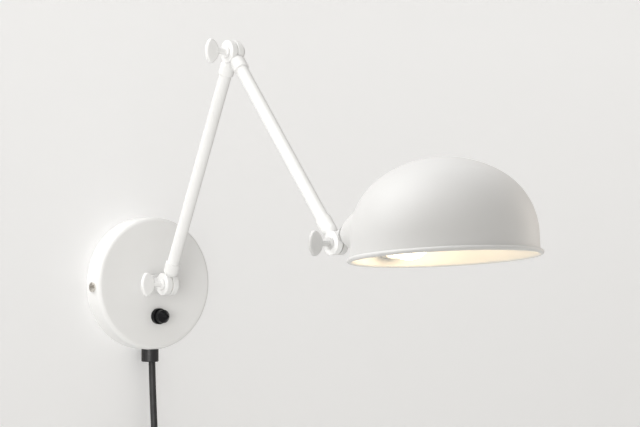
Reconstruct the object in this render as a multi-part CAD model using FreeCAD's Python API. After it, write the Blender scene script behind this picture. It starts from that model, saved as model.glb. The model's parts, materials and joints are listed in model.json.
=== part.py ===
import FreeCAD, Part
import math
import os

# Swing arm wall lamp: a round wall canopy, two arms that fold at thumb-screw joints, and a dome shade.
# Millimetres. The wall is the plane Y = 0, the lamp's front faces -Y and +Z is up.
# The origin is the centre of the canopy's back. "out" below is the distance from the wall.

# ---- canopy
canopy_radius = 60.0
canopy_depth = 20.5
canopy_wall = 1.2
canopy_edge_radius = 4.0

# ---- wall bracket and its screws
bracket_thickness = 2.0
bracket_height = 22.0
bracket_ear_height = 16.0
bracket_ear_depth = 15.0
bracket_ear_gap = 0.8
wall_hole_spacing = 60.0
wall_hole_radius = 2.4
side_screw_out = 10.5
side_screw_up = -2.5
side_screw_radius = 2.0
side_screw_length = 9.0
side_screw_head_radius = 4.3
side_screw_head_height = 2.4
side_screw_head_rim = 1.5
screw_slot_width = 1.0
screw_slot_depth = 1.2
hole_clearance = 0.2

# ---- terminal block
terminal_x = -31.0
terminal_up = -24.0
terminal_width = 18.0
terminal_height = 12.0
terminal_depth = 11.0
terminal_screw_radius = 1.6
terminal_pitch = 9.0

# ---- rotary switch in the canopy's face
switch_x = 2.6
switch_up = -29.5
switch_body_width = 20.0
switch_body_height = 15.0
switch_body_depth = 13.0
switch_body_edge = 1.5
switch_bush_radius = 5.0
switch_bush_stand = 3.6
switch_shaft_radius = 2.0
ring_nut_radius = 7.25
ring_nut_depth = 4.2
ring_nut_edge = 0.8
knob_radius = 6.0
knob_barrel = 6.0
knob_nose = 6.3
knob_tip_radius = 1.2

# ---- cord grip under the canopy
grip_out = 11.6
grip_radius = 7.8
grip_edge = 0.8
grip_height = 11.0
grip_thread_radius = 4.8
grip_thread_length = 8.0
grip_nut_flats = 13.0
grip_nut_height = 4.0

# ---- base post
post_length = 20.0
post_radius = 6.0
post_flange_radius = 8.5
post_flange_thickness = 2.0
post_flange_edge = 0.6
post_thread_radius = 5.0
post_thread_length = 12.0
post_bore_radius = 3.0
post_nut_flats = 15.0
post_nut_height = 5.0
post_washer_thickness = 0.8
post_washer_radius = 8.5

# ---- arm joints: half-lapped discs, clamped by a wing screw
disc_radius = 10.0
knuckle_edge = 0.7
neck_start = 2.0
joint_half_width = 6.0
joint_half_gap = 0.4
lap_clearance = 0.4
screw_radius = 2.0
running_clearance = 0.06
face_clearance = 0.1
friction_washer_radius = 9.0
cap_nut_radius = 7.2
cap_nut_rim = 1.6
cap_nut_dome = 4.4
wing_flange_radius = 5.2
wing_flange_thickness = 1.5
wing_flange_edge = 0.4
wing_neck_radius = 2.5
wing_start = 14.4
wing_tallest = 23.1
wing_end = 27.6
wing_half_height = 11.1
wing_thickness = 4.6
wing_corner = 3.0
wing_edge = 1.5

# ---- arms
lower_arm_length = 228.0
upper_arm_length = 223.0
lower_arm_lean = 26.6
upper_arm_lean = 42.4
tube_radius = 5.5
tube_wall = 1.0
collar_wall = 1.2
collar_reach = 22.0
head_collar_reach = 27.0
socket_start = 15.0
lead_radius = 1.9
elbow_smallest_angle = 60.0

# ---- head
cup_rise = 7.4
cup_rear = 11.5
cup_rear_radius = 8.0
cup_shoulder = 13.0
cup_flare = 4.0
cup_front = 84.0
cup_wall = 1.2
neck_radius = 6.2
spigot_radius = 4.0
spigot_length = 8.5
neck_nut_flats = 11.0
neck_nut_height = 3.5
shade_radius = 74.0
shade_height = 74.0
shade_shoulder = 58.0
shade_crown = 87.0
shade_wall = 1.0
shade_reach = 141.0
shade_drop = 12.7
shade_skirt = 4.0
shade_tilt = 6.1
shade_roll = 1.35
bead_radius = 1.95

# ---- lamp holder and bulb, along the cup's axis
holder_rear = 36.0
holder_radius = 13.0
holder_cavity = 50.0
holder_chamfer = 2.0
sleeve_start = 60.0
sleeve_end = 77.5
sleeve_radius = 14.0
sleeve_wall = 1.6
holder_bore_radius = 2.5
holder_flange_radius = 18.0
holder_ring_radius = 19.0
screw_shell_radius = 7.9
screw_shell_wall = 0.8
contact_radius = 3.0
contact_height = 4.0
bulb_base_radius = 6.8
bulb_tip_radius = 2.4
bulb_base_taper = 1.5
bulb_base_start = 56.0
bulb_base_end = 73.0
bulb_centre = 95.0
bulb_radius = 20.0
bulb_neck_radius = 11.9
glass_wall = 0.8

# ---- mains cord
cord_diameter = 6.2
canopy_lead_diameter = 3.0
canopy_lead_gap = 2.3
coil_x = 3.0
coil_up = -209.0
coil_radius = 35.1
coil_out = 9.9
coil_half_width = 9.4
coil_half_depth = 8.5
tie_thickness = 0.8
tie_angle = 14.0
tie_place = 35.0
plug_relief_length = 22.0
plug_top_radius = 4.2
plug_foot_radius = 5.6
plug_length = 34.0
plug_width = 35.3
plug_neck_width = 15.0
plug_shoulder = 17.0
plug_thickness = 13.7
plug_edge = 2.5
pin_radius = 2.0
pin_length = 19.0
pin_spacing = 18.6
pin_edge = 1.2

# Where the cord is bent, as (x, y, z). The first part hangs from the grip down to the coil, in front of it.
hanging_route = [
    (1.2, -12.3, -53.0),
    (1.7, -12.6, -84.0),
    (2.7, -14.3, -128.0),
    (0.0, -21.0, -162.0),
    (-14.0, -23.2, -181.0),
    (-28.0, -20.4, -200.0),
    (-33.6, -16.0, -220.0),
]
# The second part leaves the coil and ends in the plug.
tail_route = [
    (-38.6, -9.9, -214.0),
    (-38.3, -9.9, -236.0),
    (-36.9, -10.2, -258.0),
]

OUT = FreeCAD.Vector(0, -1, 0)
UP = FreeCAD.Vector(0, 0, 1)
DOWN = FreeCAD.Vector(0, 0, -1)
RIGHT = FreeCAD.Vector(1, 0, 0)
LEFT = FreeCAD.Vector(-1, 0, 0)

canopy_face = canopy_depth
canopy_inner_face = canopy_depth - canopy_wall
canopy_inner_radius = canopy_radius - canopy_wall
collar_radius = tube_radius + collar_wall


def point(x, out, up):
    return FreeCAD.Vector(x, -out, up)


def leaning(angle):
    """The direction that leans outward from straight up by an angle in degrees."""
    a = math.radians(angle)
    return point(0, math.sin(a), math.cos(a))


base_pivot = point(0, canopy_face + post_length, 0)
lower_direction = leaning(lower_arm_lean)
upper_direction = leaning(180 - upper_arm_lean)
elbow_pivot = base_pivot + lower_direction * lower_arm_length
head_pivot = elbow_pivot + upper_direction * upper_arm_length
cup_origin = head_pivot + UP * cup_rise
shade_centre = cup_origin + OUT * shade_reach - UP * shade_drop
shade_axis = FreeCAD.Rotation(OUT, -shade_roll).multVec(leaning(-shade_tilt))
neck_angle = math.degrees(math.atan2(cup_rear, cup_rise))
grip_foot = -canopy_radius - grip_height


def rod(start, direction, length, radius):
    return Part.makeCylinder(radius, length, start, direction)


def pipe(start, direction, length, radius, bore):
    return rod(start, direction, length, radius).cut(rod(start, direction, length, bore))


def block(x, out, up, width, depth, height):
    """A box centred on x and up that starts at out and reaches away from the wall."""
    corner = point(x - width / 2, out + depth, up - height / 2)
    return Part.makeBox(width, depth, height, corner)


def hexagon(start, direction, length, flats):
    """A hexagonal bar, given its width across flats."""
    corner_radius = flats / math.sqrt(3)
    corners = []
    for k in range(7):
        a = math.radians(60 * k)
        corners.append(FreeCAD.Vector(corner_radius * math.cos(a), corner_radius * math.sin(a), 0))
    bar = Part.Face(Part.makePolygon(corners)).extrude(UP * length)
    bar.Placement = FreeCAD.Placement(start, FreeCAD.Rotation(UP, direction))
    return bar


def outline_face(outline, place):
    """A face from (a, b) corners; an entry ((a, b), (a, b)) is an arc through the first to the second."""
    edges = []
    here = place(*outline[0])
    for step in outline[1:] + [outline[0]]:
        if isinstance(step[0], tuple):
            there = place(*step[1])
            edges.append(Part.Arc(here, place(*step[0]), there).toShape())
        else:
            there = place(*step)
            if there.distanceToPoint(here) < 1e-6:
                continue
            edges.append(Part.LineSegment(here, there).toShape())
        here = there
    return Part.Face(Part.Wire(edges))


def dome_step(rim_radius, rim_height, rise):
    """The outline step for a spherical dome from its rim up to the axis."""
    sphere = (rim_radius**2 + rise**2) / (2 * rise)
    half = math.asin(rim_radius / sphere) / 2
    middle = (sphere * math.sin(half), rim_height + rise - sphere * (1 - math.cos(half)))
    return (middle, (0, rim_height + rise))


def turned(outline, start, direction, angle=360):
    """A solid of revolution from (radius, height) corners, with its axis along direction."""
    face = outline_face(outline, lambda radius, height: FreeCAD.Vector(radius, 0, height))
    solid = face.revolve(FreeCAD.Vector(0, 0, 0), UP, angle)
    solid.Placement = FreeCAD.Placement(start, FreeCAD.Rotation(UP, direction))
    return solid


def rounded(shape, radius, wanted):
    """The shape with the edges that wanted(edge) picks rounded."""
    return shape.makeFillet(radius, [edge for edge in shape.Edges if wanted(edge)])


def at_out(edge, out):
    """Whether an edge lies at one distance from the wall."""
    return all(abs(-v.Point.y - out) < 1e-4 for v in edge.Vertexes)


def save(name, shape):
    if shape.ShapeType == "Compound" and len(shape.Solids) == 1:
        shape = shape.Solids[0]
    assert shape.isValid() and shape.Volume > 0, name
    shape.exportStep("parts/" + name + ".step")


# ---------------------------------------------------------------- canopy and what is inside it


def quarter(centre, radius, outward):
    """The outline step round a quarter circle, which bulges at 45 degrees, to the corner `outward`."""
    bulge = radius * math.sqrt(0.5)
    return ((centre[0] + bulge, centre[1] + bulge), outward)


def canopy_cover():
    edge = canopy_radius - canopy_edge_radius
    edge_out = canopy_face - canopy_edge_radius
    inner_round = canopy_edge_radius - canopy_wall
    cover_outline = [
        (0, canopy_inner_face),
        (edge, canopy_inner_face),
        quarter((edge, edge_out), inner_round, (canopy_inner_radius, edge_out)),
        (canopy_inner_radius, 0),
        (canopy_radius, 0),
        (canopy_radius, edge_out),
        quarter((edge, edge_out), canopy_edge_radius, (edge, canopy_face)),
        (0, canopy_face),
    ]
    cover = turned(cover_outline, point(0, 0, 0), OUT)
    post_hole = rod(point(0, 0, 0), OUT, canopy_depth + 1, post_thread_radius + running_clearance)
    switch_hole = rod(point(switch_x, 0, switch_up), OUT, canopy_depth + 1, switch_bush_radius)
    grip_hole = rod(point(0, grip_out, 0), DOWN, canopy_radius + 1, grip_thread_radius)
    side_hole_radius = side_screw_radius + hole_clearance
    side_holes = rod(
        point(-canopy_radius - 1, side_screw_out, side_screw_up),
        RIGHT,
        2 * canopy_radius + 2,
        side_hole_radius,
    )
    return cover.cut([post_hole, switch_hole, grip_hole, side_holes])


def bracket_reach():
    """How far the bracket's ears are from the middle, so that their corners clear the round wall."""
    half = bracket_ear_height / 2
    return math.sqrt(canopy_inner_radius**2 - half**2) - bracket_ear_gap


def wall_bracket():
    """The strap on the wall, with an ear at each end for the canopy's side screws."""
    reach = bracket_reach()
    shoulder = reach - bracket_height / 2
    bracket = block(0, 0, 0, 2 * shoulder, bracket_thickness, bracket_height)
    bracket = bracket.fuse(block(0, 0, 0, 2 * reach, bracket_thickness, bracket_ear_height))
    for side in (-1, 1):
        ear_x = side * (reach - bracket_thickness / 2)
        ear = block(ear_x, 0, 0, bracket_thickness, bracket_ear_depth, bracket_ear_height)
        bracket = bracket.fuse(ear)
        hole_x = side * wall_hole_spacing / 2
        bracket = bracket.cut(rod(point(hole_x, -1, 0), OUT, bracket_thickness + 2, wall_hole_radius))
    screw_way = point(-reach - 1, side_screw_out, side_screw_up)
    bracket = bracket.cut(rod(screw_way, RIGHT, 2 * reach + 2, side_screw_radius))
    return bracket.removeSplitter()


def canopy_screws():
    """The two slotted screws in the canopy's sides."""
    screws = []
    head_rise = side_screw_head_height - side_screw_head_rim
    for side, direction in ((-1, LEFT), (1, RIGHT)):
        seat = point(side * canopy_radius, side_screw_out, side_screw_up)
        outline = [
            (0, 0),
            (side_screw_head_radius, 0),
            (side_screw_head_radius, side_screw_head_rim),
            dome_step(side_screw_head_radius, side_screw_head_rim, head_rise),
        ]
        head = turned(outline, seat, direction)
        slot_bottom = side_screw_head_height - screw_slot_depth
        slot_start = seat + direction * slot_bottom
        slot = Part.makeBox(
            screw_slot_depth + 1,
            2 * side_screw_head_radius + 2,
            screw_slot_width,
            slot_start - FreeCAD.Vector(0, side_screw_head_radius + 1, screw_slot_width / 2),
        )
        if side < 0:
            slot.translate(FreeCAD.Vector(-screw_slot_depth - 1, 0, 0))
        shank = rod(seat, -direction, side_screw_length, side_screw_radius)
        screws.append(head.cut(slot).fuse(shank).removeSplitter())
    return Part.makeCompound(screws)


def terminal_block():
    body = block(
        terminal_x, bracket_thickness, terminal_up, terminal_width, terminal_depth, terminal_height
    )
    body = rounded(body, 1.0, lambda e: at_out(e, bracket_thickness + terminal_depth))
    for side in (-1, 1):
        x = terminal_x + side * terminal_pitch / 2
        screw_well = rod(
            point(x, bracket_thickness + terminal_depth / 2, terminal_up),
            OUT,
            terminal_depth,
            terminal_screw_radius,
        )
        wire_way = rod(
            point(x, bracket_thickness + terminal_depth / 3, terminal_up - terminal_height),
            UP,
            2 * terminal_height,
            terminal_screw_radius,
        )
        body = body.cut([screw_well, wire_way])
    return body


def terminal_screws():
    screws = []
    for side in (-1, 1):
        x = terminal_x + side * terminal_pitch / 2
        screw = rod(
            point(x, bracket_thickness + terminal_depth / 2, terminal_up),
            OUT,
            terminal_depth / 2 - 1,
            terminal_screw_radius,
        )
        screws.append(screw)
    return Part.makeCompound(screws)


def switch_point(out):
    return point(switch_x, out, switch_up)


def switch_body():
    rear = canopy_inner_face - switch_body_depth
    body = block(
        switch_x, rear, switch_up, switch_body_width, switch_body_depth, switch_body_height
    )
    body = rounded(body, switch_body_edge, lambda e: at_out(e, rear))
    bush_length = canopy_wall + switch_bush_stand
    bush = rod(switch_point(canopy_inner_face), OUT, bush_length, switch_bush_radius)
    shaft_room = rod(
        switch_point(rear + switch_body_depth / 2),
        OUT,
        switch_body_depth + bush_length,
        switch_shaft_radius + running_clearance,
    )
    return body.fuse(bush).cut(shaft_room).removeSplitter()


def switch_ring_nut():
    nut = pipe(switch_point(canopy_face), OUT, ring_nut_depth, ring_nut_radius, switch_bush_radius)
    return rounded(nut, ring_nut_edge, is_ring_nut_rim)


def is_ring_nut_rim(edge):
    return at_out(edge, canopy_face + ring_nut_depth) and edge.BoundBox.XLength > 2 * switch_bush_radius + 1


def knob_start():
    return canopy_face + ring_nut_depth + face_clearance


def switch_shaft():
    start = canopy_inner_face - switch_body_depth / 2 + face_clearance
    return rod(switch_point(start), OUT, knob_start() + knob_barrel - start, switch_shaft_radius)


def switch_knob():
    """A turned knob with a pointed nose."""
    outline = [
        (0, 0),
        (knob_radius, 0),
        (knob_radius, knob_barrel),
        (knob_tip_radius, knob_barrel + knob_nose),
        (0, knob_barrel + knob_nose),
    ]
    knob = turned(outline, switch_point(knob_start()), OUT)
    return knob.cut(rod(switch_point(knob_start()), OUT, knob_barrel, switch_shaft_radius))


def cord_bore():
    """The way that the cord takes through the grip."""
    x, y, _ = hanging_route[0]
    return rod(FreeCAD.Vector(x, y, 0), DOWN, canopy_radius + grip_height + 1, cord_diameter / 2)


def cord_grip():
    start = point(0, grip_out, -canopy_radius + grip_thread_length)
    thread = rod(start, DOWN, 2 * grip_thread_length, grip_thread_radius)
    sleeve_top = point(0, grip_out, -canopy_radius + canopy_wall)
    sleeve = rod(sleeve_top, DOWN, grip_height + canopy_wall, grip_radius)
    sleeve = sleeve.cut(rod(point(0, 0, 0), OUT, canopy_depth, canopy_radius))
    sleeve = rounded(sleeve, grip_edge, lambda e: all(abs(v.Point.z - grip_foot) < 1e-4 for v in e.Vertexes))
    return sleeve.fuse(thread).cut(cord_bore()).removeSplitter()


def cord_grip_nut():
    """The nut inside the canopy, held just off its round wall by its corners."""
    seat = math.sqrt(canopy_inner_radius**2 - grip_nut_flats**2 / 3) - lap_clearance
    start = point(0, grip_out, grip_nut_height - seat)
    nut = hexagon(start, DOWN, grip_nut_height, grip_nut_flats)
    return nut.cut(rod(start, DOWN, grip_nut_height, grip_thread_radius))


def canopy_lead():
    """The pair of inner wires from the terminal block to the hollow post, in front of the bracket."""
    start = (terminal_x + terminal_pitch / 2, -(bracket_thickness + terminal_depth / 3), -18.0)
    y = canopy_lead_gap + post_thread_length - canopy_face
    route = [start, (-24.0, y, -8.0), (-12.0, y, -1.0), (0.5, y, 0.3), (0.0, -canopy_face, 0.0)]
    return cord_tube(route, canopy_lead_diameter)


# ---------------------------------------------------------------- joints


def knuckle(pivot, direction, side, reach, collar):
    """One half of a half-lapped joint: a disc on its own side and a neck that grows into a collar."""
    half_angle = math.radians(elbow_smallest_angle / 2)
    shoulder = collar / math.tan(half_angle) + 2 * lap_clearance
    outline = [
        (0, neck_start),
        (neck_start * math.tan(half_angle), neck_start),
        (collar, shoulder),
        (collar, reach - knuckle_edge),
        (collar - knuckle_edge, reach),
        (0, reach),
    ]
    neck = turned(outline, pivot, direction)
    thickness = joint_half_width - joint_half_gap
    disc_start = joint_half_gap if side > 0 else -joint_half_width
    disc = rod(pivot + RIGHT * disc_start, RIGHT, thickness, disc_radius)
    disc = disc.makeFillet(knuckle_edge, disc.Edges)
    room_start = -2 * collar if side > 0 else -joint_half_gap
    room_length = 2 * collar + joint_half_gap
    room = rod(pivot + RIGHT * room_start, RIGHT, room_length, disc_radius + lap_clearance)
    outside_start = joint_half_width if side > 0 else -joint_half_width - collar
    outside = rod(pivot + RIGHT * outside_start, RIGHT, collar, disc_radius)
    body = neck.cut([room, outside]).fuse(disc)
    bolt_room = rod(
        pivot - RIGHT * 2 * joint_half_width,
        RIGHT,
        4 * joint_half_width,
        screw_radius + running_clearance,
    )
    return body.cut(bolt_room).removeSplitter()


def arm_knuckle(pivot, direction, side, reach=collar_reach):
    """A knuckle with a socket for the arm's tube and a way through for its wires."""
    body = knuckle(pivot, direction, side, reach, collar_radius)
    socket = rod(pivot + direction * socket_start, direction, reach, tube_radius)
    wire_start = disc_radius + 2 * lap_clearance
    wire_way = rod(pivot + direction * wire_start, direction, reach, lead_radius + lap_clearance)
    return body.cut([socket, wire_way]).removeSplitter()


def arm_tube(pivot, direction, length):
    start = pivot + direction * socket_start
    return pipe(start, direction, length - 2 * socket_start, tube_radius, tube_radius - tube_wall)


def arm_lead(pivot, direction, length):
    start = pivot + direction * (disc_radius + 3 * lap_clearance)
    return rod(start, direction, length - 2 * (disc_radius + 3 * lap_clearance), lead_radius)


def friction_washer(pivot):
    thickness = 2 * joint_half_gap - face_clearance
    bore = screw_radius + running_clearance
    return pipe(pivot - RIGHT * joint_half_gap, RIGHT, thickness, friction_washer_radius, bore)


def cap_nut(pivot):
    """The domed nut on the far side of a joint."""
    top = cap_nut_rim + cap_nut_dome
    outline = [
        (screw_radius + running_clearance, 0),
        (cap_nut_radius, 0),
        (cap_nut_radius, cap_nut_rim),
        dome_step(cap_nut_radius, cap_nut_rim, cap_nut_dome),
        (0, top / 2),
        (screw_radius + running_clearance, top / 2),
    ]
    return turned(outline, pivot + RIGHT * joint_half_width, RIGHT)


def wing_screw(pivot):
    """The thumb screw that clamps a joint: a shaft, a flange and an upright oval paddle."""
    shaft_end = joint_half_width + (cap_nut_rim + cap_nut_dome) / 2 - face_clearance
    shaft = rod(pivot + LEFT * wing_start, RIGHT, wing_start + shaft_end, screw_radius)
    flange_start = joint_half_width + face_clearance
    flange = rod(pivot + LEFT * flange_start, LEFT, wing_flange_thickness, wing_flange_radius)
    flange = flange.makeFillet(wing_flange_edge, flange.Edges)
    neck_length = wing_start + wing_neck_radius - flange_start
    neck = rod(pivot + LEFT * flange_start, LEFT, neck_length, wing_neck_radius)
    outline = [
        (-wing_tallest, -wing_half_height),
        ((-wing_end, 0), (-wing_tallest, wing_half_height)),
        ((-wing_start, 0), (-wing_tallest, -wing_half_height)),
    ]
    face = outline_face(outline, lambda x, z: FreeCAD.Vector(x, 0, z))
    paddle = face.extrude(FreeCAD.Vector(0, wing_thickness, 0))
    paddle.translate(pivot - FreeCAD.Vector(0, wing_thickness / 2, 0))
    paddle = rounded(paddle, wing_corner, is_across)
    paddle = paddle.makeFillet(wing_edge, paddle.Edges)
    return shaft.fuse([flange, neck, paddle]).removeSplitter()


def is_across(edge):
    """Whether an edge runs straight through a plate's thickness, along Y."""
    a, b = edge.Vertexes[0].Point, edge.Vertexes[-1].Point
    return abs(a.y - b.y) > 1 and abs(a.x - b.x) < 1e-4 and abs(a.z - b.z) < 1e-4


# ---------------------------------------------------------------- base post


def base_post():
    """The post on the canopy, with the first joint's left half at its end."""
    flange_start = canopy_face + face_clearance
    post = knuckle(base_pivot, -OUT, -1, post_length - face_clearance, post_radius)
    flange = rod(point(0, flange_start, 0), OUT, post_flange_thickness, post_flange_radius)
    flange = rounded(flange, post_flange_edge, lambda e: at_out(e, flange_start + post_flange_thickness))
    thread_start = canopy_face - post_thread_length
    thread = rod(
        point(0, thread_start, 0), OUT, post_thread_length + face_clearance, post_thread_radius
    )
    bore = rod(point(0, thread_start, 0), OUT, post_thread_length + post_flange_thickness, post_bore_radius)
    return post.fuse([flange, thread]).cut(bore).removeSplitter()


def post_washer():
    start = canopy_inner_face - face_clearance - post_washer_thickness
    return pipe(point(0, start, 0), OUT, post_washer_thickness, post_washer_radius, post_thread_radius)


def post_nut():
    start = canopy_inner_face - face_clearance - post_washer_thickness - post_nut_height
    nut = hexagon(point(0, start, 0), OUT, post_nut_height, post_nut_flats)
    return nut.cut(rod(point(0, start, 0), OUT, post_nut_height, post_thread_radius))


# ---------------------------------------------------------------- head


def along_cup(distance):
    return cup_origin + OUT * distance


def dome_arcs(inset):
    """The dome's section, inset all round: a crown, a tighter shoulder, then a straight side.

    Gives the top, the crown's middle and end, and the shoulder's middle and end."""
    across = shade_radius - shade_shoulder
    apart = math.sqrt((shade_crown - shade_shoulder) ** 2 - across**2)
    crown_up = shade_height - shade_crown
    crown_half = math.atan2(across, apart)
    crown = shade_crown - inset
    shoulder = shade_shoulder - inset

    def on_crown(a):
        return (crown * math.sin(a), crown_up + crown * math.cos(a))

    def on_shoulder(a):
        return (across + shoulder * math.sin(a), crown_up + apart + shoulder * math.cos(a))

    side = math.pi / 2
    return (
        on_crown(0),
        on_crown(crown_half / 2),
        on_crown(crown_half),
        on_shoulder((crown_half + side) / 2),
        on_shoulder(side),
    )


def dome_solid(inset):
    """All the room that the dome takes up, as one solid, inset from its outside."""
    top, crown_middle, crown_end, shoulder_middle, shoulder_end = dome_arcs(inset)
    outline = [
        (0, -shade_skirt),
        top,
        (crown_middle, crown_end),
        (shoulder_middle, shoulder_end),
        (shade_radius - inset, -shade_skirt),
    ]
    return turned(outline, shade_centre, shade_axis)


def head_knuckle():
    """The head's half of its joint, with a neck that rises to the cup and a threaded spigot."""
    reach = math.hypot(cup_rear, cup_rise) + neck_radius
    body = knuckle(head_pivot, leaning(neck_angle), 1, reach, neck_radius)
    past_rear = block(
        0, -head_pivot.y + cup_rear, head_pivot.z, 4 * disc_radius, 2 * reach, 8 * disc_radius
    )
    spigot = rod(along_cup(cup_rear - 2), OUT, spigot_length + 2, spigot_radius)
    wire_way = rod(along_cup(cup_rear - 2), OUT, spigot_length + 2, holder_bore_radius)
    return body.cut(past_rear).fuse(spigot).cut(wire_way).removeSplitter()


def neck_nut():
    nut = hexagon(along_cup(cup_rear + cup_wall), OUT, neck_nut_height, neck_nut_flats)
    return nut.cut(rod(along_cup(cup_rear), OUT, 2 * neck_nut_height, spigot_radius))


def cup_arcs(inset):
    """The cup's section, inset all round: the shoulder's start, middle and end, the side's middle and end."""
    flare = math.radians(cup_flare)
    shoulder_up = cup_rear + cup_shoulder
    side_radius = (cup_front - shoulder_up) / math.sin(flare) + cup_shoulder
    side_middle = cup_rear_radius + (cup_shoulder - side_radius) * math.cos(flare)
    shoulder = cup_shoulder - inset
    side = side_radius - inset

    def on_shoulder(a):
        return (cup_rear_radius + shoulder * math.cos(a), shoulder_up - shoulder * math.sin(a))

    def on_side(a):
        return (side_middle + side * math.cos(a), cup_front - side * math.sin(a))

    rear = math.pi / 2
    return (
        on_shoulder(rear),
        on_shoulder((rear + flare) / 2),
        on_shoulder(flare),
        on_side(flare / 2),
        on_side(0),
    )


def socket_cup():
    """The bell that hides the lamp holder, cut to sit on the dome."""
    start, shoulder_middle, shoulder_end, side_middle, front = cup_arcs(0)
    inner_start, inner_shoulder, inner_end, inner_side, inner_front = cup_arcs(cup_wall)
    outline = [
        (0, cup_rear),
        start,
        (shoulder_middle, shoulder_end),
        (side_middle, front),
        inner_front,
        (inner_side, inner_end),
        (inner_shoulder, inner_start),
        (0, cup_rear + cup_wall),
    ]
    bell = turned(outline, cup_origin, OUT)
    bell = bell.cut([dome_solid(0), rod(along_cup(cup_rear), OUT, cup_wall, spigot_radius)])
    return max(bell.Solids, key=lambda s: s.Volume)


def shade():
    """The dome, with a short skirt and a rolled rim, and the hole that the lamp holder goes through."""
    top, crown_middle, crown_end, shoulder_middle, shoulder_end = dome_arcs(0)
    inner_top, inner_crown, inner_crown_end, inner_shoulder, inner_end = dome_arcs(shade_wall)
    inner = shade_radius - shade_wall
    outline = [
        top,
        (crown_middle, crown_end),
        (shoulder_middle, shoulder_end),
        (shade_radius, -shade_skirt),
        (inner, -shade_skirt),
        inner_end,
        (inner_shoulder, inner_crown_end),
        (inner_crown, inner_top),
    ]
    dome = turned(outline, shade_centre, shade_axis)
    rim_centre = shade_centre - shade_axis * shade_skirt
    bead = Part.makeTorus(inner + bead_radius, bead_radius, rim_centre, shade_axis)
    hole = rod(along_cup(sleeve_start), OUT, sleeve_end - sleeve_start, sleeve_radius + hole_clearance)
    return dome.fuse(bead).cut(hole).removeSplitter()


def lamp_holder():
    """The insulating holder, with a shoulder behind the shade and a threaded sleeve through it."""
    outline = [
        (holder_bore_radius, holder_rear),
        (holder_radius - holder_chamfer, holder_rear),
        (holder_radius, holder_rear + holder_chamfer),
        (holder_radius, sleeve_start),
        (holder_flange_radius, sleeve_start),
        (holder_flange_radius, sleeve_end),
        (sleeve_radius - sleeve_wall, sleeve_end),
        (sleeve_radius - sleeve_wall, holder_cavity),
        (holder_bore_radius, holder_cavity),
    ]
    body = turned(outline, cup_origin, OUT)
    length = sleeve_end - sleeve_start + 2
    around_sleeve = pipe(along_cup(sleeve_start + 1), OUT, length, 2 * sleeve_radius, sleeve_radius)
    return body.cut(around_sleeve.common(dome_solid(0)))


def lamp_holder_ring():
    """The ring that clamps the shade from inside."""
    ring = pipe(
        along_cup(sleeve_start), OUT, sleeve_end - sleeve_start, holder_ring_radius, sleeve_radius
    )
    return ring.common(dome_solid(shade_wall))


def holder_screw_shell():
    length = bulb_base_end - holder_cavity - 2
    bore = screw_shell_radius - screw_shell_wall
    return pipe(along_cup(holder_cavity), OUT, length, screw_shell_radius, bore)


def holder_contact():
    return rod(along_cup(holder_cavity), OUT, contact_height, contact_radius)


def holder_lead():
    start = cup_rear + spigot_length
    return rod(along_cup(start), OUT, holder_rear - start, holder_bore_radius)


def bulb_base():
    """The bulb's screw base, with its tip on the contact."""
    tip = holder_cavity + contact_height
    outline = [
        (0, tip),
        (bulb_tip_radius, tip),
        (bulb_base_radius - bulb_base_taper, bulb_base_start),
        (bulb_base_radius, bulb_base_start + bulb_base_taper),
        (bulb_base_radius, bulb_base_end),
        (0, bulb_base_end),
    ]
    return turned(outline, cup_origin, OUT)


def globe_start(radius, at_radius):
    """Where, along the axis, a globe of that radius is at_radius wide."""
    return bulb_centre - math.sqrt(radius**2 - at_radius**2)


def bulb_glass():
    inner_radius = bulb_radius - glass_wall
    inner_neck = bulb_neck_radius - glass_wall
    outline = [
        (bulb_base_radius - glass_wall, bulb_base_end),
        (bulb_base_radius, bulb_base_end),
        (bulb_neck_radius, globe_start(bulb_radius, bulb_neck_radius)),
        ((bulb_radius, bulb_centre), (0, bulb_centre + bulb_radius)),
        (0, bulb_centre + inner_radius),
        ((inner_radius, bulb_centre), (inner_neck, globe_start(inner_radius, inner_neck))),
    ]
    return turned(outline, cup_origin, OUT)


# ---------------------------------------------------------------- mains cord


def cord_edges(route):
    """Straight runs joined by tangent arcs that are as large as their runs allow."""
    points = [FreeCAD.Vector(*p) for p in route]
    edges = []
    radii = []
    here = points[0]
    for before, corner, after in zip(points, points[1:], points[2:]):
        come = (corner - before).normalize()
        go = (after - corner).normalize()
        turn = come.getAngle(go)
        shorter = min((corner - before).Length, (after - corner).Length)
        back = 0.45 * shorter
        radius = back / math.tan(turn / 2)
        arc_start = corner - come * back
        arc_end = corner + go * back
        inward = (go - come).normalize()
        centre = corner + inward * math.hypot(radius, back)
        middle = centre - inward * radius
        edges.append(Part.LineSegment(here, arc_start).toShape())
        edges.append(Part.Arc(arc_start, middle, arc_end).toShape())
        radii.append(radius)
        here = arc_end
    edges.append(Part.LineSegment(here, points[-1]).toShape())
    return edges, radii


def cord_tube(route, diameter):
    edges, radii = cord_edges(route)
    path = Part.Wire(edges)
    start = FreeCAD.Vector(*route[0])
    direction = FreeCAD.Vector(*route[1]) - start
    ring = Part.Wire([Part.Circle(start, direction, diameter / 2).toShape()])
    tube = path.makePipeShell([ring], True, False)
    ideal = math.pi * diameter**2 / 4 * path.Length
    print(
        "cord of", diameter, "length", round(path.Length, 1), "radii", [round(r) for r in radii],
        "volume share", round(tube.Volume / ideal, 4),
    )
    return tube


def bundle_outline(grow):
    """The section of the coil's bundle of turns, grown all round."""
    inner = coil_radius - coil_half_width - grow
    outer = coil_radius + coil_half_width + grow
    low = coil_out - coil_half_depth - grow
    high = coil_out + coil_half_depth + grow
    corner = cord_diameter / 2
    return [
        (inner + corner, low),
        (outer - corner, low),
        (outer, low + corner),
        (outer, high - corner),
        (outer - corner, high),
        (inner + corner, high),
        (inner, high - corner),
        (inner, low + corner),
    ]


def cord_coil():
    return turned(bundle_outline(0), point(coil_x, 0, coil_up), OUT)


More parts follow.
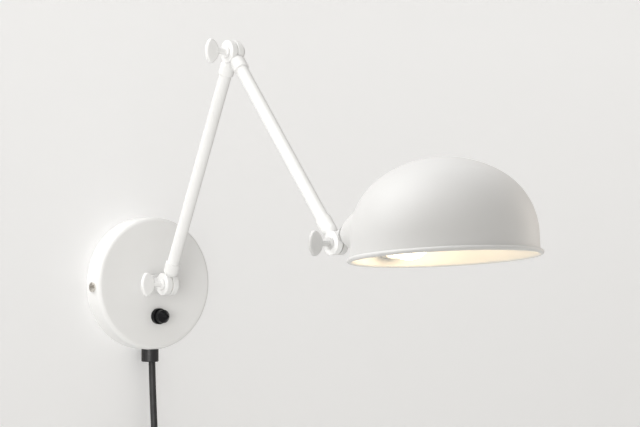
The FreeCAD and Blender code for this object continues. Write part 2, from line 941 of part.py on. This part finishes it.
def cord_tie():
    centre = point(coil_x, 0, coil_up)
    band = turned(bundle_outline(tie_thickness), centre, OUT, tie_angle)
    band.rotate(centre, OUT, -tie_place)
    return band.cut(cord_coil())


def tail_end():
    """Where the cord enters the plug's strain relief, and the direction that it goes in."""
    before, last = (FreeCAD.Vector(*p) for p in tail_route[-2:])
    return last, (last - before).normalize()


def plug_relief():
    start, direction = tail_end()
    outline = [
        (0, 0),
        (plug_top_radius, 0),
        (plug_foot_radius, plug_relief_length),
        (0, plug_relief_length),
    ]
    return turned(outline, start, direction)


def plug_placement():
    """The plug's own frame: +Z along the cord, away from it."""
    start, direction = tail_end()
    foot = start + direction * plug_relief_length
    return FreeCAD.Placement(foot, FreeCAD.Rotation(RIGHT, UP, direction, "ZXY"))


def plug_body():
    half = plug_width / 2
    neck = plug_neck_width / 2
    outline = [
        (-neck, 0),
        (neck, 0),
        (half, plug_shoulder),
        (half, plug_length),
        (-half, plug_length),
        (-half, plug_shoulder),
    ]
    face = outline_face(outline, lambda x, z: FreeCAD.Vector(x, -plug_thickness / 2, z))
    body = face.extrude(FreeCAD.Vector(0, plug_thickness, 0))
    body = body.makeFillet(plug_edge, body.Edges)
    body.Placement = plug_placement()
    return body


def plug_pins():
    pins = []
    for side in (-1, 1):
        start = FreeCAD.Vector(side * pin_spacing / 2, 0, plug_length)
        pin = rod(start, UP, pin_length, pin_radius)
        tip = plug_length + pin_length
        pin = rounded(pin, pin_edge, lambda e: abs(e.BoundBox.ZMin - tip) < 1e-4)
        pin.Placement = plug_placement()
        pins.append(pin)
    return Part.makeCompound(pins)


os.makedirs("parts", exist_ok=True)

save("canopy_cover", canopy_cover())
save("wall_bracket", wall_bracket())
save("canopy_screws", canopy_screws())
save("terminal_block", terminal_block())
save("terminal_screws", terminal_screws())
save("switch_body", switch_body())
save("switch_ring_nut", switch_ring_nut())
save("switch_shaft", switch_shaft())
save("switch_knob", switch_knob())
save("cord_grip", cord_grip())
save("cord_grip_nut", cord_grip_nut())
save("canopy_lead", canopy_lead())

save("base_post", base_post())
save("post_washer", post_washer())
save("post_nut", post_nut())

save("lower_arm_base_knuckle", arm_knuckle(base_pivot, lower_direction, 1))
save("lower_arm_tube", arm_tube(base_pivot, lower_direction, lower_arm_length))
save("lower_arm_elbow_knuckle", arm_knuckle(elbow_pivot, -lower_direction, -1))
save("lower_arm_lead", arm_lead(base_pivot, lower_direction, lower_arm_length))

save("upper_arm_elbow_knuckle", arm_knuckle(elbow_pivot, upper_direction, 1))
save("upper_arm_tube", arm_tube(elbow_pivot, upper_direction, upper_arm_length))
save("upper_arm_head_knuckle", arm_knuckle(head_pivot, -upper_direction, -1, head_collar_reach))
save("upper_arm_lead", arm_lead(elbow_pivot, upper_direction, upper_arm_length))

for joint, pivot in (("base", base_pivot), ("elbow", elbow_pivot), ("head", head_pivot)):
    save(joint + "_friction_washer", friction_washer(pivot))
    save(joint + "_cap_nut", cap_nut(pivot))
    save(joint + "_wing_screw", wing_screw(pivot))

save("head_knuckle", head_knuckle())
save("neck_nut", neck_nut())
save("socket_cup", socket_cup())
save("shade", shade())
save("lamp_holder", lamp_holder())
save("lamp_holder_ring", lamp_holder_ring())
save("holder_screw_shell", holder_screw_shell())
save("holder_contact", holder_contact())
save("holder_lead", holder_lead())
save("bulb_base", bulb_base())
save("bulb_glass", bulb_glass())

save("mains_cord", cord_tube(hanging_route, cord_diameter))
save("cord_coil", cord_coil())
save("cord_tie", cord_tie())
save("cord_tail", cord_tube(tail_route, cord_diameter))
save("plug_relief", plug_relief())
save("plug_body", plug_body())
save("plug_pins", plug_pins())
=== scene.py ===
import bmesh
import bpy
import json
import math
from mathutils import Matrix, Vector


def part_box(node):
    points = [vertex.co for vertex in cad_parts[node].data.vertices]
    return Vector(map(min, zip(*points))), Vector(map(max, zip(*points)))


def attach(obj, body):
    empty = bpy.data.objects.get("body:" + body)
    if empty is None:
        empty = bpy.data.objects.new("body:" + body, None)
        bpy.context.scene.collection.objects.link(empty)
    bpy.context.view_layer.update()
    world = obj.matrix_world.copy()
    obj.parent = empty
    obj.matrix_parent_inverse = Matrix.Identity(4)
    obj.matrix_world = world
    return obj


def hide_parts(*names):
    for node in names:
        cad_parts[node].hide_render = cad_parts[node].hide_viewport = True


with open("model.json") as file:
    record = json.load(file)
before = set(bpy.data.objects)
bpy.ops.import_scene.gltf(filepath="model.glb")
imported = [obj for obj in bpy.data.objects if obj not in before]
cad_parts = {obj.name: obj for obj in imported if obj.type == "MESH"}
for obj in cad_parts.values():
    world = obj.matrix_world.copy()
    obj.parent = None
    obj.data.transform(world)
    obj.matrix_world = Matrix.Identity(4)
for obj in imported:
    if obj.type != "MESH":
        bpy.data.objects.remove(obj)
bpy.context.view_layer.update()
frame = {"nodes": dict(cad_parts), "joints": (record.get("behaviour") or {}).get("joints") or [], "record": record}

RIGHT = Vector((1, 0, 0))
OUT = Vector((0, -1, 0))  # away from the wall
UP = Vector((0, 0, 1))
MM = 0.001

# ---------------------------------------------------------------- camera

# The picture is taken level, from the left of the lamp, through a long lens.
CAMERA_AZIMUTH = math.radians(36.6)
CAMERA_PLACE = Vector((-1.284, -1.9995, 0.0635))
SENSOR_WIDTH_MM = 36.0
LENS_MM = 146.25


def make_camera():
    data = bpy.data.cameras.new("camera")
    data.sensor_width = SENSOR_WIDTH_MM
    data.lens = LENS_MM
    data.clip_start = 0.05
    data.clip_end = 50
    camera = bpy.data.objects.new("camera", data)
    camera.location = CAMERA_PLACE
    camera.rotation_euler = (math.pi / 2, 0, -CAMERA_AZIMUTH)
    bpy.context.scene.collection.objects.link(camera)
    bpy.context.scene.camera = camera


make_camera()


# ---------------------------------------------------------------- stage and light

WALL_PLACE = 0.0004  # just behind the canopy
FLOOR_HEIGHT = -0.56  # below the shade at its lowest pose
STAGE_REACH = 6.0
WALL_COLOUR = (0.86, 0.86, 0.86)
FLOOR_COLOUR = (0.80, 0.80, 0.79)
MOTTLE_SHARE = 0.985  # of a backdrop's colour, where its mottle is darkest
WALL_GLOW = 0.385  # at and above WALL_BRIGHT_HEIGHT
WALL_LOW_GLOW = 0.66  # of WALL_GLOW, at and below WALL_DIM_HEIGHT
WALL_BRIGHT_HEIGHT = 0.24
WALL_DIM_HEIGHT = -0.16


def stage_plane(name, corners, material):
    mesh = bpy.data.meshes.new(name)
    mesh.from_pydata(corners, [], [(0, 1, 2, 3)])
    mesh.materials.append(material)
    plane = bpy.data.objects.new(name, mesh)
    bpy.context.scene.collection.objects.link(plane)
    return plane


def backdrop_material(name, colour, glow=None):
    """Plain matt paint that isn't there for a camera behind it. One that glows is dimmer low down."""
    material = bpy.data.materials.new(name)
    material.use_nodes = True
    nodes, links = material.node_tree.nodes, material.node_tree.links
    shader = nodes["Principled BSDF"]
    shader.inputs["Roughness"].default_value = 0.95
    shader.inputs["Specular IOR Level"].default_value = 0.1
    place = nodes.new("ShaderNodeTexCoord").outputs["Object"]
    texture = nodes.new("ShaderNodeTexNoise")
    texture.inputs["Scale"].default_value = 2.2
    texture.inputs["Detail"].default_value = 2
    links.new(place, texture.inputs["Vector"])
    mottle = nodes.new("ShaderNodeMix")
    mottle.data_type = "RGBA"
    mottle.inputs["A"].default_value = (*(MOTTLE_SHARE * c for c in colour), 1)
    mottle.inputs["B"].default_value = (*colour, 1)
    links.new(texture.outputs["Fac"], mottle.inputs["Factor"])
    links.new(mottle.outputs["Result"], shader.inputs["Base Color"])
    if glow:
        shader.inputs["Emission Color"].default_value = (*colour, 1)
        height = nodes.new("ShaderNodeSeparateXYZ")
        links.new(place, height.inputs["Vector"])
        fading = nodes.new("ShaderNodeMapRange")
        fading.inputs["From Min"].default_value = WALL_DIM_HEIGHT
        fading.inputs["From Max"].default_value = WALL_BRIGHT_HEIGHT
        fading.inputs["To Min"].default_value = glow * WALL_LOW_GLOW
        fading.inputs["To Max"].default_value = glow
        links.new(height.outputs["Z"], fading.inputs["Value"])
        links.new(fading.outputs["Result"], shader.inputs["Emission Strength"])
    clear = nodes.new("ShaderNodeBsdfTransparent")
    sides = nodes.new("ShaderNodeMixShader")
    links.new(nodes.new("ShaderNodeNewGeometry").outputs["Backfacing"], sides.inputs["Fac"])
    links.new(shader.outputs["BSDF"], sides.inputs[1])
    links.new(clear.outputs["BSDF"], sides.inputs[2])
    links.new(sides.outputs["Shader"], nodes["Material Output"].inputs["Surface"])
    return material


def make_stage():
    """A wall that is only seen and gives the object no light, and a floor."""
    r, y, z = STAGE_REACH, WALL_PLACE, FLOOR_HEIGHT
    wall_paint = backdrop_material("wall_paint", WALL_COLOUR, WALL_GLOW)
    wall = stage_plane("wall", [(-r, y, z), (r, y, z), (r, y, r), (-r, y, r)], wall_paint)
    wall.visible_diffuse = False
    wall.visible_glossy = False
    wall.visible_transmission = False
    wall.visible_shadow = False
    floor_paint = backdrop_material("floor_paint", FLOOR_COLOUR)
    stage_plane("floor", [(-r, -r, z), (r, -r, z), (r, r, z), (-r, r, z)], floor_paint)


# ---------------------------------------------------------------- light

FILL_ABOVE = (1.20, 1.195, 1.185)
FILL_BELOW = (0.93, 0.88, 0.815)
FILL_STRENGTH = 0.53
LIGHT_AIM = (0, -0.35, 0.05)  # between the arms and the shade
WALL_AIM = (0, -0.1, 0.05)
NEAR_WALL = (
    "wall_mount",
    "switch_dial",
    "swivel_post",
    "lower_arm",
    "upper_arm",
    "base_thumb_screw",
    "elbow_thumb_screw",
)
AT_HEAD = ("head", "head_thumb_screw")
LIT_BY = {}  # body: the receivers of the lights that only some bodies have


def area_light(name, place, aim, size, power, colour):
    data = bpy.data.lights.new(name, "AREA")
    data.shape = "DISK"
    data.size = size
    data.energy = power
    data.color = colour
    light = bpy.data.objects.new(name, data)
    light.location = place
    light.rotation_euler = (Vector(aim) - Vector(place)).to_track_quat("-Z", "Y").to_euler()
    bpy.context.scene.collection.objects.link(light)
    return light


def only_on(light, bodies):
    """Keeps a light to some bodies, and to the pieces that stand for their nodes later on."""
    receivers = bpy.data.collections.new(light.name + "_lights")
    for body in bodies:
        for node in frame["record"]["behaviour"]["bodies"][body]:
            receivers.objects.link(frame["nodes"][node])
        LIT_BY.setdefault(body, []).append(receivers)
    light.light_linking.receiver_collection = receivers


def make_light():
    """A pale room, a large soft light high on the left, and two weak ones that only some bodies have."""
    world = bpy.data.worlds.new("studio")
    bpy.context.scene.world = world
    world.use_nodes = True
    nodes, links = world.node_tree.nodes, world.node_tree.links
    background = nodes["Background"]
    background.inputs["Strength"].default_value = FILL_STRENGTH
    height = nodes.new("ShaderNodeSeparateXYZ")
    links.new(nodes.new("ShaderNodeTexCoord").outputs["Generated"], height.inputs["Vector"])
    room = nodes.new("ShaderNodeMix")
    room.data_type = "RGBA"
    room.inputs["A"].default_value = (*FILL_BELOW, 1)
    room.inputs["B"].default_value = (*FILL_ABOVE, 1)
    links.new(height.outputs["Z"], room.inputs["Factor"])
    links.new(room.outputs["Result"], background.inputs["Color"])
    area_light("key", (-1.45, 0.60, 2.05), LIGHT_AIM, size=2.6, power=58, colour=(1.0, 1.0, 1.0))
    wash = area_light("wash", (-1.5, -1.4, 0.05), WALL_AIM, size=1.2, power=19, colour=(1.0, 0.995, 0.985))
    glance = area_light("glance", (2.0, -0.5, 0.35), LIGHT_AIM, size=1.2, power=8, colour=(1.0, 0.90, 0.80))
    only_on(wash, NEAR_WALL)
    only_on(glance, AT_HEAD)
    bpy.context.scene.view_settings.view_transform = "Standard"


make_stage()
make_light()


# ---------------------------------------------------------------- finishes


class Finish:
    """A Principled material whose detail comes from the surface's own place, in metres."""

    def __init__(self, name, **constants):
        self.material = bpy.data.materials.new(name)
        self.material.use_nodes = True
        self.shader = self.material.node_tree.nodes["Principled BSDF"]
        for socket, value in constants.items():
            self.shader.inputs[socket.replace("_", " ")].default_value = value
        self.place = self.node("ShaderNodeTexCoord").outputs["Object"]
        self.normal = None

    def node(self, kind, **settings):
        made = self.material.node_tree.nodes.new(kind)
        for setting, value in settings.items():
            setattr(made, setting, value)
        return made

    def link(self, source, target):
        self.material.node_tree.links.new(source, target)

    def stretched(self, stretch):
        """The place, drawn out along the axes where stretch is small."""
        mapping = self.node("ShaderNodeMapping")
        mapping.inputs["Scale"].default_value = stretch
        self.link(self.place, mapping.inputs["Vector"])
        return mapping.outputs["Vector"]

    def noise(self, scale, detail=2.0, stretch=None):
        texture = self.node("ShaderNodeTexNoise")
        texture.inputs["Scale"].default_value = scale
        texture.inputs["Detail"].default_value = detail
        self.link(self.stretched(stretch) if stretch else self.place, texture.inputs["Vector"])
        return texture.outputs["Fac"]

    def cells(self, scale):
        texture = self.node("ShaderNodeTexVoronoi")
        texture.inputs["Scale"].default_value = scale
        self.link(self.place, texture.inputs["Vector"])
        return texture.outputs["Color"]

    def spread(self, value, low, high, start=0.3, end=0.7):
        """The value, taken from start..end to low..high."""
        mapping = self.node("ShaderNodeMapRange")
        for socket, number in zip(("From Min", "From Max", "To Min", "To Max"), (start, end, low, high)):
            mapping.inputs[socket].default_value = number
        self.link(value, mapping.inputs["Value"])
        return mapping.outputs["Result"]

    def mix(self, factor, first, second):
        """From the first colour to the second. A colour is three numbers or a socket."""
        made = self.node("ShaderNodeMix", data_type="RGBA")
        self.link(factor, made.inputs["Factor"])
        for socket, colour in (("A", first), ("B", second)):
            if isinstance(colour, tuple):
                made.inputs[socket].default_value = (*colour, 1)
            else:
                self.link(colour, made.inputs[socket])
        return made.outputs["Result"]

    def colour(self, source):
        self.link(source, self.shader.inputs["Base Color"])

    def roughness(self, value, low, high, start=0.3, end=0.7):
        self.link(self.spread(value, low, high, start, end), self.shader.inputs["Roughness"])

    def bump(self, height, depth, strength=1.0):
        """Raises the surface by the height times depth, in metres, over what is there already."""
        made = self.node("ShaderNodeBump")
        made.inputs["Distance"].default_value = depth
        made.inputs["Strength"].default_value = strength
        self.link(height, made.inputs["Height"])
        if self.normal:
            self.link(self.normal, made.inputs["Normal"])
        self.normal = made.outputs["Normal"]
        self.link(self.normal, self.shader.inputs["Normal"])


def white_paint():
    """Satin powder coat: a faint orange peel, and a cast that drifts a little over the surface."""
    finish = Finish("white_paint", Specular_IOR_Level=0.42, Coat_Weight=0.06, Coat_Roughness=0.45)
    drift = finish.mix(finish.spread(finish.noise(16, 3), 0, 1), (0.765, 0.764, 0.755), (0.795, 0.795, 0.79))
    specks = finish.spread(finish.noise(2100, 1), 0, 1, 0.70, 0.80)
    finish.colour(finish.mix(specks, drift, (0.70, 0.70, 0.69)))
    finish.roughness(finish.noise(260, 3), 0.46, 0.56)
    finish.bump(finish.noise(560, 2), 0.00005, 0.5)
    finish.bump(finish.noise(2600, 1), 0.000008, 0.4)
    return finish.material


def black_plastic():
    """Satin moulding: spark-eroded grain, with light scuffs that are rougher and a little greyer."""
    finish = Finish("black_plastic", IOR=1.5)
    scuffs = finish.spread(finish.noise(420, 6, (1, 1, 0.15)), 0, 1, 0.56, 0.72)
    finish.colour(finish.mix(scuffs, (0.014, 0.014, 0.016), (0.032, 0.032, 0.034)))
    finish.roughness(finish.noise(700, 4), 0.36, 0.52)
    finish.bump(finish.noise(3200, 2), 0.00003, 0.6)
    return finish.material


def switch_black():
    """Hard black moulding, darker and glossier than the cord's fittings, with faint greyer wear."""
    finish = Finish("switch_black", IOR=1.45, Specular_IOR_Level=0.16)
    wear = finish.spread(finish.noise(380, 5, (1, 0.2, 1)), 0, 1, 0.58, 0.74)
    finish.colour(finish.mix(wear, (0.004, 0.004, 0.005), (0.014, 0.014, 0.015)))
    finish.roughness(finish.noise(640, 4), 0.26, 0.40)
    finish.bump(finish.noise(2600, 2), 0.00002, 0.5)
    return finish.material


def cord_sheath():
    """Flexible black sheath: fine extrusion lines along its length are lost in a dull bloom."""
    finish = Finish("cord_sheath", IOR=1.5, Sheen_Weight=0.08, Sheen_Roughness=0.5)
    bloom = finish.spread(finish.noise(95, 5), 0, 1, 0.42, 0.75)
    finish.colour(finish.mix(bloom, (0.0135, 0.0135, 0.0145), (0.027, 0.027, 0.028)))
    finish.roughness(finish.noise(310, 4), 0.44, 0.60)
    finish.bump(finish.noise(900, 3), 0.00004, 0.5)
    finish.bump(finish.noise(3600, 1), 0.00001, 0.5)
    return finish.material


def lead_sheath():
    """The pale soft sheath of the inner wires."""
    finish = Finish("lead_sheath", IOR=1.5)
    finish.colour(finish.mix(finish.spread(finish.noise(60, 4), 0, 1), (0.24, 0.24, 0.23), (0.31, 0.31, 0.295)))
    finish.roughness(finish.noise(240, 3), 0.42, 0.58)
    finish.bump(finish.noise(1500, 2), 0.00002, 0.5)
    return finish.material


def nickel():
    """Bright plate on small parts: an uneven shine, and hairline marks."""
    finish = Finish("nickel", Metallic=1.0)
    cast = finish.spread(finish.noise(140, 3), 0, 1)
    finish.colour(finish.mix(cast, (0.60, 0.57, 0.52), (0.68, 0.655, 0.61)))
    finish.roughness(finish.noise(900, 5), 0.16, 0.34)
    finish.bump(finish.noise(1500, 4, (1, 0.12, 1)), 0.00002, 0.4)
    return finish.material


def zinc_steel():
    """Zinc plate on pressed steel: its crystals catch the light one by one."""
    finish = Finish("zinc_steel", Metallic=1.0)
    crystals = finish.cells(420)
    cast = finish.mix(finish.spread(finish.noise(45, 4), 0, 1), (0.50, 0.51, 0.53), (0.58, 0.575, 0.55))
    finish.colour(finish.mix(finish.spread(crystals, 0, 0.5, 0.0, 1.0), cast, (0.66, 0.67, 0.68)))
    finish.roughness(crystals, 0.28, 0.46, 0.0, 1.0)
    finish.bump(finish.noise(1300, 4), 0.00002, 0.5)
    return finish.material


def brass():
    """Bare brass, with browner patches of tarnish."""
    finish = Finish("brass", Metallic=1.0)
    tarnish = finish.spread(finish.noise(260, 5), 0, 1, 0.42, 0.75)
    finish.colour(finish.mix(tarnish, (0.72, 0.50, 0.20), (0.46, 0.30, 0.12)))
    finish.roughness(finish.noise(800, 4), 0.20, 0.38)
    finish.bump(finish.noise(2200, 3, (1, 1, 0.2)), 0.000015, 0.5)
    return finish.material


def bulb_cap():
    """The bulb's rolled metal base."""
    finish = Finish("bulb_cap", Metallic=1.0)
    cast = finish.spread(finish.noise(180, 4), 0, 1)
    finish.colour(finish.mix(cast, (0.58, 0.575, 0.56), (0.67, 0.665, 0.65)))
    finish.roughness(finish.noise(700, 4), 0.26, 0.42)
    finish.bump(finish.noise(1800, 3), 0.00002, 0.5)
    return finish.material


def clear_nylon():
    """Natural nylon: milky, and waxy to the light."""
    finish = Finish("clear_nylon", IOR=1.53, Subsurface_Weight=0.25, Subsurface_Scale=0.002)
    finish.colour(finish.mix(finish.spread(finish.noise(90, 3), 0, 1), (0.62, 0.62, 0.57), (0.71, 0.71, 0.67)))
    finish.roughness(finish.noise(500, 3), 0.34, 0.50)
    finish.bump(finish.noise(2400, 2), 0.00002, 0.5)
    return finish.material


def holder_plastic():
    """The lamp holder's off-white, slightly shiny moulding."""
    finish = Finish("holder_plastic", IOR=1.5, Coat_Weight=0.1, Coat_Roughness=0.2)
    finish.colour(finish.mix(finish.spread(finish.noise(70, 3), 0, 1), (0.66, 0.65, 0.60), (0.72, 0.71, 0.67)))
    finish.roughness(finish.noise(450, 3), 0.26, 0.40)
    finish.bump(finish.noise(1700, 2), 0.00002, 0.5)
    return finish.material


def bulb_glass():
    """Frosted glass, lit from inside: a little brighter where the coating is thin."""
    finish = Finish("bulb_glass", IOR=1.45, Emission_Strength=6.2)
    coating = finish.spread(finish.noise(70, 3), 0, 1)
    finish.colour(finish.mix(coating, (0.84, 0.80, 0.70), (0.90, 0.87, 0.79)))
    glow = finish.mix(coating, (1.0, 0.775, 0.47), (1.0, 0.80, 0.52))
    finish.link(glow, finish.shader.inputs["Emission Color"])
    finish.roughness(finish.noise(900, 3), 0.42, 0.58)
    finish.bump(finish.noise(2600, 2), 0.00001, 0.5)
    return finish.material


FINISHES = {
    make.__name__: make()
    for make in (
        white_paint,
        black_plastic,
        switch_black,
        cord_sheath,
        lead_sheath,
        nickel,
        zinc_steel,
        brass,
        bulb_cap,
        clear_nylon,
        holder_plastic,
        bulb_glass,
    )
}


def paint(piece, finish):
    piece.data.materials.clear()
    piece.data.materials.append(FINISHES[finish])


for subpart in frame["record"]["subparts"]:
    paint(frame["nodes"][subpart["node"]], subpart["material_slot"])


# ---------------------------------------------------------------- pieces that stand for nodes


def stand_for(piece, body, slot, *nodes, finish=None):
    """The piece replaces the nodes in their body, with the slot's finish if no other is given."""
    for receivers in LIT_BY.get(body, []):
        receivers.objects.link(piece)
    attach(piece, body)
    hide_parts(*nodes)
    paint(piece, finish or slot)


def smooth_piece(name, mesh, placement=None):
    """An object from a bmesh, which is used up."""
    bmesh.ops.recalc_face_normals(mesh, faces=mesh.faces)
    data = bpy.data.meshes.new(name)
    mesh.to_mesh(data)
    mesh.free()
    for face in data.polygons:
        face.use_smooth = True
    if placement:
        data.transform(placement)
    piece = bpy.data.objects.new(name, data)
    bpy.context.scene.collection.objects.link(piece)
    return piece


# ---------------------------------------------------------------- switch knob

# The knob's outline in millimetres: (radius, height over its foot, fillet of the corner).
KNOB_OUTLINE = [
    (0, 0, 0),
    (5.35, 0, 0.25),
    (5.35, 0.55, 0.2),
    (6.0, 0.55, 0.3),
    (6.0, 6.0, 0.9),
    (2.3, 11.1, 0.9),
    (1.2, 12.3, 0.8),
    (0, 12.3, 0),
]
KNOB_STEPS = 144  # round the axis
FILLET_STEPS = 6
FILLET_SUPPORT = 0.25  # from a rounded corner to the ring that keeps its flank flat, in fillets


def softened(outline):
    """The outline's points, with each corner rounded by its fillet."""
    points = []
    for i, (radius, height, fillet) in enumerate(outline):
        corner = Vector((radius, height))
        if not fillet:
            points.append(corner)
            continue
        come = (corner - Vector(outline[i - 1][:2])).normalized()
        go = (Vector(outline[i + 1][:2]) - corner).normalized()
        back = fillet * math.tan(come.angle(go) / 2)
        start, end = corner - come * back, corner + go * back
        points.append(start - come * fillet * FILLET_SUPPORT)
        for k in range(FILLET_STEPS + 1):
            t = k / FILLET_STEPS
            points.append(start * (1 - t) ** 2 + corner * 2 * t * (1 - t) + end * t**2)
        points.append(end + go * fillet * FILLET_SUPPORT)
    return points


def knob_ring(mesh, radius, height):
    """The vertices of one ring, or of one point where the outline meets the axis."""
    if radius == 0:
        return [mesh.verts.new((0, 0, height * MM))]
    angles = [2 * math.pi * k / KNOB_STEPS for k in range(KNOB_STEPS)]
    reach = radius * MM
    return [mesh.verts.new((reach * math.cos(a), reach * math.sin(a), height * MM)) for a in angles]


def make_knob():
    """The turned knob with a pointed nose, and its dark finish on the rest of the switch."""
    mesh = bmesh.new()
    rings = [knob_ring(mesh, radius, height) for radius, height in softened(KNOB_OUTLINE)]
    for low, high in zip(rings, rings[1:]):
        for k in range(KNOB_STEPS):
            j = (k + 1) % KNOB_STEPS
            corners = [low[k % len(low)], low[j % len(low)], high[j % len(high)], high[k % len(high)]]
            mesh.faces.new(list(dict.fromkeys(corners)))
    low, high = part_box("switch_knob")
    foot = Vector(((low[0] + high[0]) / 2, high[1], (low[2] + high[2]) / 2))
    turn = Matrix((RIGHT, OUT.cross(RIGHT), OUT)).transposed()
    knob = smooth_piece("dial", mesh, Matrix.Translation(foot) @ turn.to_4x4())
    stand_for(knob, "switch_dial", "black_plastic", "switch_knob", finish="switch_black")
    for node in ("switch_ring_nut", "switch_body", "switch_shaft"):
        paint(frame["nodes"][node], "switch_black")


make_knob()


# ---------------------------------------------------------------- socket cup

# In millimetres. Along is from the head's pivot, away from the wall.
CUP_RISE = 7.4  # of the cup's axis over the pivot
CUP_REAR = 11.5
CUP_BORE = 4.05
CUP_WALL = 1.2
CUP_INSET = (0.6 * CUP_WALL, 0.8 * CUP_WALL)  # of the inside from the outside, along and across
CUP_SIDE = ((CUP_REAR, 4.6), (28, 18.5), (50, 25))  # (along, radius) of the side's parabola
CUP_TUCK = 0.34  # how much less it widens straight below, to stay over the shade's rim
CUP_PROBE = 30.0  # the dome is looked for from here on
CUP_SINK = 0.4  # of the cup's end in the dome
CUP_REACH = (0.4, 1.5)  # the side ends between these, where 1 is the parabola's last point
CUP_SEARCHES = 24
CUP_RINGS = 40
CUP_NOSE_RINGS = 3  # of the outside, with none inside them
CUP_BUNCHING = 1.3  # of the rings towards the knuckle, where the side curves most
CUP_STEPS = 144  # round the axis


def cup_point(t, widening):
    """The point (along, radius) of the cup's side at t."""
    first, middle, last = CUP_SIDE
    along, radius = (
        a * (1 - t) ** 2 + b * 2 * t * (1 - t) + c * t * t for a, b, c in zip(first, middle, last)
    )
    return along, first[1] + widening * (radius - first[1])


def cup_reach(shade, axis, across, widening):
    """The t at which the cup's side meets the dome in the direction across, or CUP_REACH's last."""
    low, high = CUP_REACH
    for _ in range(CUP_SEARCHES):
        t = (low + high) / 2
        along, radius = cup_point(t, widening)
        start = axis + across * radius * MM + OUT * CUP_PROBE * MM
        hit, place, _, _ = shade.ray_cast(start, OUT)
        met = hit and (place - axis).dot(OUT) < (along - CUP_SINK) * MM
        low, high = (low, t) if met else (t, high)
    return low


def cup_section(end, widening):
    """The closed section of the cup's wall, from its bore along the outside to the dome and back."""
    shares = [(i / CUP_RINGS) ** CUP_BUNCHING for i in range(CUP_RINGS + 1)]
    outside = [cup_point(end * share, widening) for share in shares]
    inside = [(along + CUP_INSET[0], radius - CUP_INSET[1]) for along, radius in outside[CUP_NOSE_RINGS:-1]]
    inside.append((outside[-1][0], outside[-1][1] - CUP_WALL))
    nose = [(CUP_REAR + CUP_WALL, CUP_BORE), (CUP_REAR, CUP_BORE)]
    return nose + outside + inside[::-1]


def make_cup():
    """A bell that widens from the knuckle's spigot to the dome. Its top stops 2 mm short of the dome."""
    shade = frame["nodes"]["shade"]
    pivot = next(joint["pos_m"] for joint in frame["joints"] if joint["name"] == "head_tilt")
    axis = Vector(pivot) + UP * CUP_RISE * MM
    mesh = bmesh.new()
    columns = []
    for k in range(CUP_STEPS):
        a = 2 * math.pi * k / CUP_STEPS
        across = RIGHT * math.cos(a) + UP * math.sin(a)
        widening = 1 - CUP_TUCK * min(0, math.sin(a)) ** 2
        section = cup_section(cup_reach(shade, axis, across, widening), widening)
        columns.append([mesh.verts.new(axis + across * r * MM + OUT * along * MM) for along, r in section])
    for column, following in zip(columns, columns[1:] + columns[:1]):
        for i in range(len(column)):
            j = (i + 1) % len(column)
            mesh.faces.new((column[i], column[j], following[j], following[i]))
    stand_for(smooth_piece("cup", mesh), "head", "white_paint", "socket_cup")


make_cup()


# ---------------------------------------------------------------- mains cord

CORD_DIAMETER = 0.0062
COIL_CENTRE = Vector((0.003, -0.0099, -0.209))
COIL_STEP = 0.00537  # between the coil's layers, away from the wall
POINTS_PER_TURN = 16
TURN = 360  # degrees
COIL_START = 206  # degrees, seen from the front, counted from +X towards +Z
COIL_SWEEP = 2494
SHIFT_SWEEP = 80  # degrees over which a turn moves on to the next one's place
HANGING_ROUTE = [
    (0.0012, -0.0123, -0.0530),
    (0.0017, -0.0126, -0.0840),
    (0.0027, -0.0143, -0.1280),
    (0.0000, -0.0210, -0.1620),
    (-0.0140, -0.0232, -0.1810),
    (-0.0280, -0.0204, -0.2000),
    (-0.0336, -0.0160, -0.2200),
]
TAIL_ROUTE = [
    (-0.0386, -0.0099, -0.2140),
    (-0.0383, -0.0099, -0.2360),
    (-0.0369, -0.0102, -0.2580),
]
# Each turn's radius, and how many layers it lies from the coil's middle one.
COIL_TURNS = [
    (0.0382, 1),
    (0.0320, 1),
    (0.0289, 0),
    (0.0320, -1),
    (0.0382, -1),
    (0.0351, 0),
    (0.0413, 0),
]


def coil_points():
    """The coil's turns: each lies in its place and moves to the next one's just before it comes round."""
    points = []
    step = TURN / POINTS_PER_TURN
    outside = 1 / math.cos(math.radians(step / 2))
    for i in range(1, int(COIL_SWEEP / step)):
        swept = i * step
        turn = min(int(swept // TURN), len(COIL_TURNS) - 1)
        after = min(turn + 1, len(COIL_TURNS) - 1)
        share = max(0.0, (swept % TURN - (TURN - SHIFT_SWEEP)) / SHIFT_SWEEP)
        share = share * share * (3 - 2 * share)
        radius = COIL_TURNS[turn][0] * (1 - share) + COIL_TURNS[after][0] * share
        layer = COIL_TURNS[turn][1] * (1 - share) + COIL_TURNS[after][1] * share
        a = math.radians(COIL_START + swept)
        across = Vector((math.cos(a), 0, math.sin(a))) * radius * outside
        points.append(COIL_CENTRE + across + OUT * COIL_STEP * layer)
    return points


def make_cord():
    """The cord's one smooth line: down from the grip, round the coil, and down to the plug's relief."""
    points = [Vector(p) for p in HANGING_ROUTE] + coil_points() + [Vector(p) for p in TAIL_ROUTE]
    data = bpy.data.curves.new("flex", "CURVE")
    data.dimensions = "3D"
    data.resolution_u = 6
    data.bevel_depth = 1.0  # metres of radius for each unit of a point's own
    data.bevel_resolution = 6
    data.use_fill_caps = True
    spline = data.splines.new("NURBS")
    spline.points.add(len(points) - 1)
    for place, p in zip(spline.points, points):
        place.co = (*p, 1)
        place.radius = CORD_DIAMETER / 2
    spline.order_u = 3
    spline.use_endpoint_u = True
    cord = bpy.data.objects.new("flex", data)
    bpy.context.scene.collection.objects.link(cord)
    return cord


cord = make_cord()
stand_for(cord, "wall_mount", "cord_sheath", "mains_cord", "cord_coil", "cord_tail")
